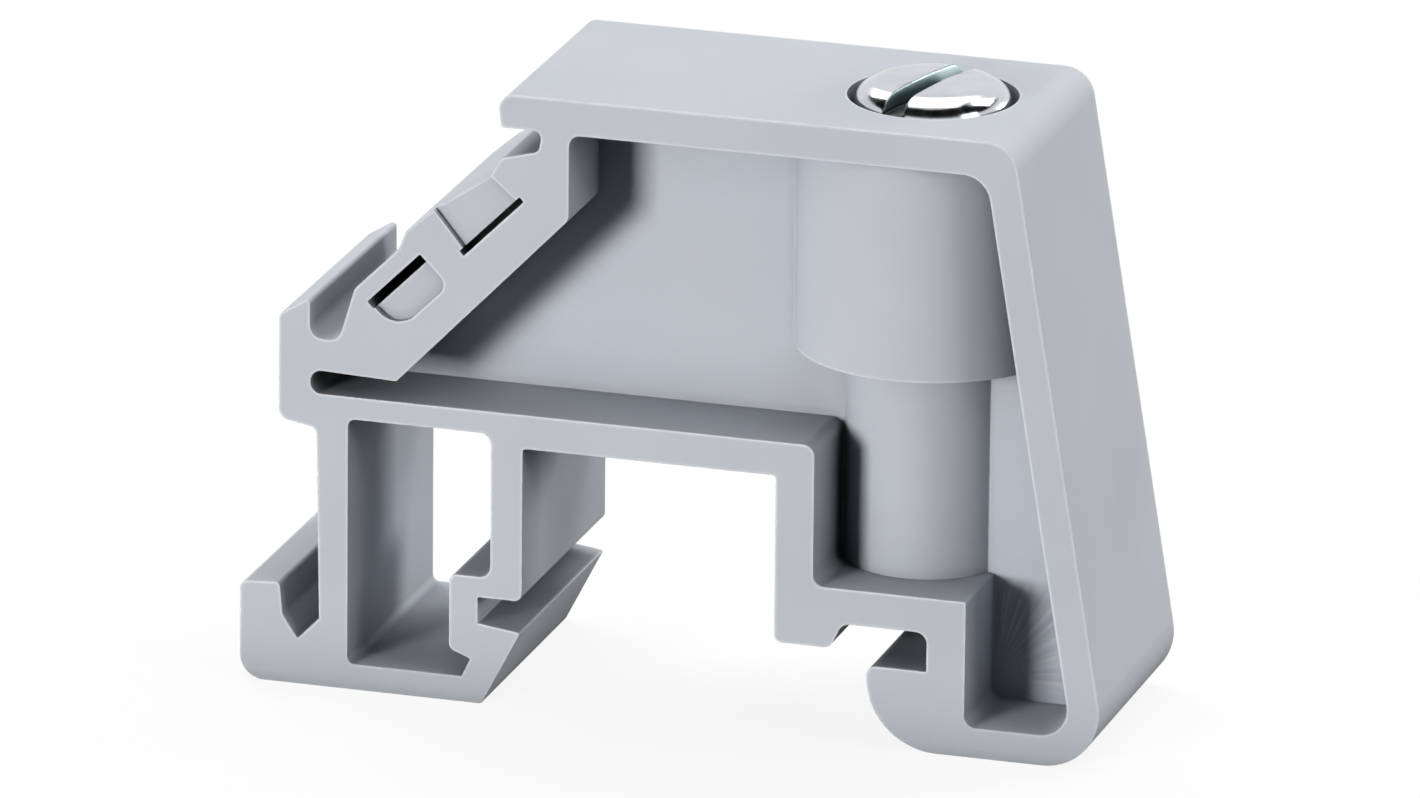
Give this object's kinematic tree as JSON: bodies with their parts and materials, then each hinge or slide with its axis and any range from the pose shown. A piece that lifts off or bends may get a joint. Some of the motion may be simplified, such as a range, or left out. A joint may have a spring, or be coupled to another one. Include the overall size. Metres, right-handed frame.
{
  "type": "din rail end stop",
  "caption": "One-piece moulded end stop that hooks onto a 35 mm top-hat rail and clamps with a slotted screw, with seats for marker tags on its slope.",
  "frame": {"origin": "on the rail's centre line, in the plane where the rail's flanges seat, half way along the body", "axes": "+X across the rail towards the screw and hook, +Y along the rail away from the face that the picture shows, +Z away from the rail towards the screw head"},
  "size_m": [0.068, 0.021, 0.0498],
  "materials": {
    "body_polyamide": "light grey moulded polyamide, smooth and matte",
    "screw_steel": "bright zinc-plated steel"
  },
  "bodies": {
    "body": {"clamp_body": "body_polyamide"},
    "screw": {"clamping_screw": "screw_steel"}
  },
  "joints": [
    {"name": "screw_travel", "type": "slide", "parent": "body", "child": "screw", "axis": [0, 0, -1], "range_m": [0, 0.0046]}
  ]
}
